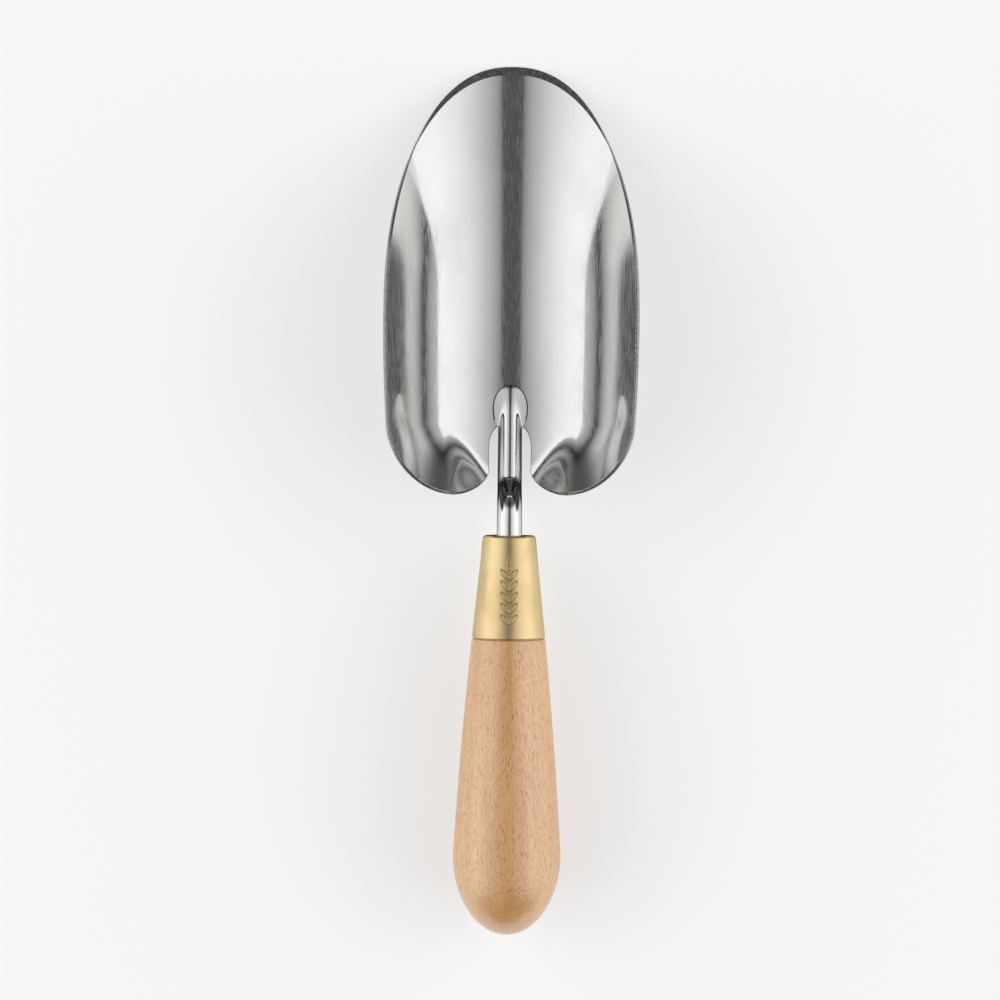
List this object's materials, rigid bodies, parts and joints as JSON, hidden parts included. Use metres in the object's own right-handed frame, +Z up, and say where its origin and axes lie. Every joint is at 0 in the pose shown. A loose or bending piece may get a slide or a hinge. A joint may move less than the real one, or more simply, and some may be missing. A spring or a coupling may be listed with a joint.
{
  "type": "transplanting trowel",
  "caption": "Hand transplanter with a deep scooped steel blade, forked at the rear around a cranked round neck, a brass ferrule and a pear-shaped beech handle.",
  "frame": {"origin": "centre of the bounding box on the floor, with the tool lying on its back and the scoop facing up", "axes": "+Y from the butt of the handle to the tip of the blade, +Z up out of the scoop, +X to the right when looking along +Y"},
  "size_m": [0.0858, 0.3, 0.0368],
  "materials": {
    "polished_steel": "mirror polished with faint lengthwise brushing, ground bevel",
    "neck_steel": "mirror",
    "weld_metal": "dark",
    "brass": "satin",
    "beech": "satin lacquer",
    "epoxy": "matte"
  },
  "bodies": {
    "root": {"blade": "polished_steel", "neck": "neck_steel", "pad_weld": "weld_metal", "ferrule": "brass", "handle": "beech", "tang_adhesive": "epoxy"}
  },
  "joints": []
}
